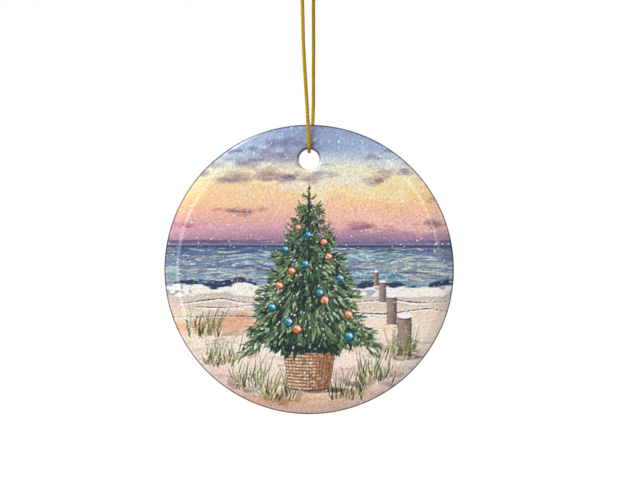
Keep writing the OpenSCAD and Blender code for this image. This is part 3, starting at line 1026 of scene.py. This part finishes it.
BAUBLES = 16
TURN = 2.4          # radians from one bauble to the next, about the golden angle
for number in range(BAUBLES):
    share = (number + .5) / BAUBLES
    z = -17 + 28 * share
    x = TREE_X + .8 * reach_at(z) * math.sin(TURN * number + 1)
    bauble(x, z, 1.25 - .45 * share, COPPER if number % 2 else TEAL)
tell("baubles")

# %% Spatter the snow
SMALL_FLAKES, SOFT_FLAKES = 2800, 60
for _ in range(SMALL_FLAKES):
    x, z = spread(-35, 35), spread(-35, 35)
    size = .1 + .3 * brush.random() ** 3
    stroke([(x, z), (x + .01, z)], (size, size), (.95, .96, .97), spread(.3, .95), .07)
for _ in range(SOFT_FLAKES):
    x, z = spread(-34, 34), spread(-34, 34)
    size = spread(.35, .8)
    drift = (x + spread(-.3, .3), z + spread(-.3, .3))
    stroke([(x, z), drift], (size, size * .8), (.94, .95, .97), spread(.4, .8), .2, .3, 5)
tell("snow")

# %% Paint shade round the rim and over the hole
# Painted shade: a fine dark line round the rim, and a dark arc over the hole that is strongest above it and
# fades out below it.
RIM_SHADE_START, HOLE_SHADE_REACH, SHADE_FADE = 34.45, 3.1, .5     # mm from the disc's middle, the hole's, and wide
rim_painted_shade = ease((np.hypot(ACROSS, UP) - RIM_SHADE_START) / SHADE_FADE)
# painted shade over the hole: dark above it, fading out towards its lower side
hole_painted_shade = ease((HOLE_SHADE_REACH - np.hypot(ACROSS, UP - HOLE_UP)) / SHADE_FADE) * ease((UP - HOLE_UP + 1.2) / 2.4)
# painted shade: the rim's line and the arc over the hole darken the print
glaze(canvas, (.42, .38, .42), np.maximum(rim_painted_shade * .85, hole_painted_shade * .75))
tell("whole picture")

# %% [markdown]
# ## Putting the picture on the coat
# Each point of the coat's outer face takes the colour of the canvas right in front of it, mixed
# from the four nearest canvas points, so the picture runs over the shoulder and down the hole's
# lip just as a film does. Screen colours are turned into amounts of light first. The coat's
# hidden inner face keeps the white of the film's backing.

# %% Put the picture on the coat
def canvas_colour(x, z):
    """Colours of the canvas at places in mm: the four canvas points round each are mixed by how
    near they are."""
    gx = np.clip((x + REACH) / CELL, 0, SIDE - 1.001)
    gz = np.clip((z + REACH) / CELL, 0, SIDE - 1.001)
    i, j = gx.astype(int), gz.astype(int)
    u, v = (gx - i)[:, None], (gz - j)[:, None]
    return ((canvas[i, j] * (1 - u) + canvas[i + 1, j] * u) * (1 - v)
            + (canvas[i, j + 1] * (1 - u) + canvas[i + 1, j + 1] * u) * v)


def softened(values, reach):
    """The mean of each canvas point and its neighbours out to a number of points each way, taken
    along one direction and then the other."""
    for axis in (0, 1):
        total = np.cumsum(np.concatenate([np.repeat(values.take([0], axis), reach + 1, axis), values,
                                          np.repeat(values.take([-1], axis), reach, axis)], axis), axis)
        count = values.shape[axis]
        wide = 2 * reach + 1
        values = (total.take(range(wide, wide + count), axis) - total.take(range(count), axis)) / wide
    return values


# granulation: pigment settles in the hollows of the paper, and the print is sharpened after it
tooth = billow(ACROSS, UP, 0.32, 501, 2) - 0.5
fine_tooth = np.random.default_rng(503).standard_normal(ACROSS.shape)
fine_tooth = softened(fine_tooth[..., None], 1) * 1.6
canvas = canvas * (1.045 + 0.11 * tooth[..., None] + 0.07 * fine_tooth)
canvas = canvas + 0.8 * (canvas - softened(canvas, 3))
seen_colour = np.clip(canvas_colour(print_x, print_z), 0, 1)
light_amount = np.where(seen_colour <= 0.04045, seen_colour / 12.92, ((seen_colour + 0.055) / 1.055) ** 2.4)
colours = np.ones((len(printed_picture.data.vertices), 4), np.float32)
colours[:len(light_amount), :3] = light_amount
picture = printed_picture.data.color_attributes.new("picture", "FLOAT_COLOR", "POINT")
picture.data.foreach_set("color", colours.ravel())
print("picture colours on", len(light_amount), "points")

# %% [markdown]
# ## Node groups that several finishes share
# Two effects belong to more than one finish, so each is a group with its own inputs. Every fired
# glaze settles a little unevenly, which shows as a slow swell in its reflections. And everything
# that is handled or packed carries a little dust.

# %% Build the shared groups
def new_group(name, inputs, outputs):
    """An empty shader group with float inputs, given with their first values, and outputs given
    with their socket types. Gives back the group, its input node and its output node."""
    group = bpy.data.node_groups.new(name, "ShaderNodeTree")
    for label, first in inputs:
        socket = group.interface.new_socket(name=label, in_out="INPUT", socket_type="NodeSocketFloat")
        socket.default_value = first
    for label, kind in outputs:
        group.interface.new_socket(name=label, in_out="OUTPUT", socket_type=kind)
    return group, group.nodes.new("NodeGroupInput"), group.nodes.new("NodeGroupOutput")


def add(tree, kind, links=(), **settings):
    """A new node with its settings made and its inputs linked or set. An input is named or
    numbered, and its value is an output socket or a plain value."""
    node = tree.nodes.new(kind)
    for key, value in settings.items():
        setattr(node, key, value)
    for key, value in dict(links).items():
        if isinstance(value, bpy.types.NodeSocket):
            tree.links.new(value, node.inputs[key])
        else:
            node.inputs[key].default_value = value
    return node


def span(tree, value, low, high, to_low=0.0, to_high=1.0):
    """The value taken from one range to another and kept inside it, with eased ends."""
    node = add(tree, "ShaderNodeMapRange", {0: value, 1: low, 2: high, 3: to_low, 4: to_high})
    node.interpolation_type = "SMOOTHSTEP"
    return node.outputs[0]


def maths(tree, what, a, b=0.0):
    """One sum on two values, named as Blender names it."""
    return add(tree, "ShaderNodeMath", {0: a, 1: b}, operation=what).outputs[0]


swell_group, ins, outs = new_group("glaze_swell", [("Size", 4.0), ("Height", 0.02)],
                                   [("Normal", "NodeSocketVector"), ("Pits", "NodeSocketFloat")])
place = add(swell_group, "ShaderNodeTexCoord").outputs["Object"]
big = add(swell_group, "ShaderNodeTexNoise", {"Vector": place, "Scale": 140.0, "Detail": 2.0})
small = add(swell_group, "ShaderNodeTexNoise", {"Vector": place, "Scale": 900.0, "Detail": 1.0})
swell = maths(swell_group, "ADD", maths(swell_group, "MULTIPLY", big.outputs[0], ins.outputs["Size"]),
              small.outputs[0])
bump = add(swell_group, "ShaderNodeBump",
           {"Height": swell, "Distance": 0.00001, "Strength": ins.outputs["Height"]})
pits = add(swell_group, "ShaderNodeTexVoronoi", {"Vector": place, "Scale": 260.0})
swell_group.links.new(bump.outputs[0], outs.inputs["Normal"])
swell_group.links.new(span(swell_group, pits.outputs["Distance"], 0.05, 0.09, 1.0, 0.0), outs.inputs["Pits"])

dust_group, ins, outs = new_group("handling_dust", [("Scale", 500.0), ("Amount", 0.3)],
                                  [("Dust", "NodeSocketFloat")])
place = add(dust_group, "ShaderNodeTexCoord").outputs["Object"]
fine = add(dust_group, "ShaderNodeTexNoise", {"Vector": place, "Scale": ins.outputs["Scale"], "Detail": 3.0})
patchy = add(dust_group, "ShaderNodeTexNoise", {"Vector": place, "Scale": 60.0, "Detail": 2.0})
specks = span(dust_group, fine.outputs[0], 0.58, 0.72)
dust = maths(dust_group, "MULTIPLY", specks, span(dust_group, patchy.outputs[0], 0.45, 0.65))
dust_group.links.new(maths(dust_group, "MULTIPLY", dust, ins.outputs["Amount"]), outs.inputs["Dust"])
print("groups", [group.name for group in bpy.data.node_groups])


def new_material(name, piece, **shader_values):
    """A material on a piece, with plain values set on its shader's own sockets. Gives back its
    node tree and the shader."""
    material = bpy.data.materials.new(name)
    material.use_nodes = True
    tree = material.node_tree
    shader = tree.nodes["Principled BSDF"]
    for key, value in shader_values.items():
        shader.inputs[key.replace("_", " ")].default_value = value
    piece.data.materials.append(material)
    return tree, shader


def group_node(tree, group, **values):
    """The group placed in a material, with its own values."""
    node = tree.nodes.new("ShaderNodeGroup")
    node.node_tree = group
    for key, value in values.items():
        node.inputs[key].default_value = value
    return node


# %% [markdown]
# ## The printed and glazed finish
# The picture's pigment lies under clear glaze. The pigment is not even: it gathers in the paper
# grain of the painting that was printed. Over it the glaze is smooth, hard and very glossy.

# %% Finish the printed coat
tree, shader = new_material("printed_glaze", printed_picture, Roughness=0.45, Coat_Weight=1.0,
                            Coat_Roughness=0.1, Coat_IOR=1.5, Specular_IOR_Level=0.2)
painted = add(tree, "ShaderNodeAttribute", attribute_name="picture").outputs["Color"]
place = add(tree, "ShaderNodeTexCoord").outputs["Object"]
grain = add(tree, "ShaderNodeTexNoise", {"Vector": place, "Scale": 3400.0, "Detail": 2.0, "Roughness": 0.6})
grain_share = span(tree, grain.outputs[0], 0.3, 0.7, 0.94, 1.06)
grained = add(tree, "ShaderNodeVectorMath", {0: painted, 1: grain_share}, operation="MULTIPLY")
tree.links.new(grained.outputs[0], shader.inputs["Base Color"])
swell = group_node(tree, swell_group, Size=3.0, Height=0.25)
tree.links.new(swell.outputs["Normal"], shader.inputs["Coat Normal"])
print("coat finished with", len(tree.nodes), "nodes")

# %% [markdown]
# ## The white glaze
# The back and the edge are bare white ceramic under its own clear glaze. A few pinholes and a
# faint grey show where it stood in the kiln.

# %% Finish the blank
tree, shader = new_material("glazed_ceramic", ceramic_blank, Roughness=0.3, Coat_Weight=1.0,
                            Coat_Roughness=0.08)
swell = group_node(tree, swell_group, Size=5.0, Height=0.4)
dust = group_node(tree, dust_group, Scale=700.0, Amount=0.25)
pinholes = maths(tree, "MULTIPLY", swell.outputs["Pits"], 0.12)
shade = maths(tree, "ADD", pinholes, maths(tree, "MULTIPLY", dust.outputs["Dust"], 0.3))
white = add(tree, "ShaderNodeMix", {"Factor": shade}, data_type="RGBA")
white.inputs["A"].default_value = (0.90, 0.895, 0.88, 1)
white.inputs["B"].default_value = (0.45, 0.43, 0.40, 1)
tree.links.new(white.outputs["Result"], shader.inputs["Base Color"])
tree.links.new(swell.outputs["Normal"], shader.inputs["Normal"])
dulled = maths(tree, "ADD", maths(tree, "MULTIPLY", dust.outputs["Dust"], 0.5), 0.22)
tree.links.new(dulled, shader.inputs["Roughness"])
print("blank finished with", len(tree.nodes), "nodes")

# %% [markdown]
# ## The gold yarn
# The cord's flat foil strips are gold-coloured film over polyester. The foil is bright on the
# crests and deep brown between the ribs, where light doesn't reach and the core shows through.

# %% Finish the cord and the knot
def gold_finish(name, piece):
    """Gold foil yarn: the ribs' own height, kept in the mesh, mixes dark brown into the grooves, partly the
    core that shows and partly painted shade, and gold on the crests, and fine strips run along the ribs."""
    tree, shader = new_material(name, piece, Metallic=0.35, Roughness=0.38, Specular_IOR_Level=0.2)
    rib = add(tree, "ShaderNodeAttribute", attribute_name="rib_height").outputs["Fac"]
    place = add(tree, "ShaderNodeTexCoord").outputs["Object"]
    strand = add(tree, "ShaderNodeTexNoise", {"Vector": place, "Scale": 4200.0, "Detail": 2.0})
    dust = group_node(tree, dust_group, Scale=1500.0, Amount=0.3)
    strips = maths(tree, "MULTIPLY", maths(tree, "SUBTRACT", strand.outputs[0], 0.5), 0.5)
    height = maths(tree, "ADD", rib, strips)
    # painted shade: the grooves go to deep brown, besides the core's own colour
    gold = add(tree, "ShaderNodeMix", {"Factor": span(tree, height, 0.4, 0.85)}, data_type="RGBA")
    gold.inputs["A"].default_value = (0.05, 0.015, 0.0, 1)
    gold.inputs["B"].default_value = (1.0, 0.61, 0.0, 1)
    dusty = add(tree, "ShaderNodeMix", {"Factor": dust.outputs["Dust"], "A": gold.outputs["Result"]},
                data_type="RGBA")
    dusty.inputs["B"].default_value = (0.50, 0.33, 0.06, 1)
    tree.links.new(dusty.outputs["Result"], shader.inputs["Base Color"])
    tree.links.new(span(tree, height, 0.0, 0.8, 0.62, 0.3), shader.inputs["Roughness"])


gold_finish("gold_cord", hanging_cord)
gold_finish("gold_knot", overhand_knot)
print("cord finishes", [material.name for material in bpy.data.materials])

# %% [markdown]
# ## Light and room
# A pale room with no shadows of its own: white all round for the eye, softer grey for the light
# it gives. Two tall soft boxes stand to the left and right of the camera, and the rounded
# shoulder of the disc gathers each of them into a soft bright arc just inside the rim.

# %% Set the lights, the floor and the background
def soft_box(name, centre, aim, size, power, colour, mirrored=True):
    """A rectangle light at a centre in mm that faces a point in mm, with its long side upright.
    One that isn't mirrored lights the pieces without showing in their gloss."""
    data = bpy.data.lights.new(name, "AREA")
    data.shape = "RECTANGLE"
    data.size, data.size_y = size[0] * MM, size[1] * MM
    data.energy = power
    data.color = colour
    lamp = bpy.data.objects.new(name, data)
    centre, aim = Vector(centre) * MM, Vector(aim) * MM
    lamp.location = centre
    lamp.rotation_euler = (aim - centre).to_track_quat("-Z", "Y").to_euler()
    lamp.visible_camera = False
    lamp.visible_glossy = mirrored
    bpy.context.scene.collection.objects.link(lamp)
    return lamp


aim = (0, 0, DISC_Z)
soft_box("left_strip", (-236, -600, DISC_Z + 15), aim, (85, 300), 0.36, (0.95, 0.98, 1.0))
soft_box("right_strip", (200, -600, DISC_Z + 150), aim, (80, 260), 0.22, (1.0, 0.92, 0.84))
soft_box("left_key", (-900, -600, 500), aim, (700, 900), 14.0, (1, 1, 1), mirrored=False)
soft_box("right_fill", (950, -500, 250), aim, (700, 900), 2.9, (1, 1, 1), mirrored=False)
soft_box("back_box", (300, 1100, 400), aim, (900, 900), 10.0, (1, 1, 1), mirrored=False)
soft_box("gold_box", (-260, -330, 420), (0, 0, -30), (90, 200), 0.7, (1.0, 0.97, 0.9))

world = bpy.data.worlds.new("pale_room")
world.use_nodes = True
bpy.context.scene.world = world
tree = world.node_tree
room = tree.nodes["Background"]
room.inputs["Color"].default_value = (0.27, 0.275, 0.285, 1)
seen = add(tree, "ShaderNodeBackground", {"Color": (1, 1, 1, 1)})
eye = add(tree, "ShaderNodeLightPath")
both = add(tree, "ShaderNodeMixShader",
           {0: eye.outputs["Is Camera Ray"], 1: room.outputs[0], 2: seen.outputs[0]})
tree.links.new(both.outputs[0], tree.nodes["World Output"].inputs["Surface"])
bpy.context.scene.view_settings.view_transform = "Standard"

FLOOR_Z, FLOOR_HALF = -400, 6000     # the floor's height and half its width, mm
corners = [(i * FLOOR_HALF, j * FLOOR_HALF, FLOOR_Z) for i, j in ((-1, -1), (1, -1), (1, 1), (-1, 1))]
floor = mesh_piece("pale_floor", corners, [(0, 1, 2, 3)])
tree, shader = new_material("pale_floor", floor, Roughness=0.8)
shader.inputs["Base Color"].default_value = (0.88, 0.88, 0.87, 1)
shader.inputs["Emission Color"].default_value = (1, 1, 1, 1)
shader.inputs["Emission Strength"].default_value = 0.9
floor.visible_diffuse = False
floor.visible_glossy = False
print("lights", [lamp.name for lamp in bpy.data.lights])
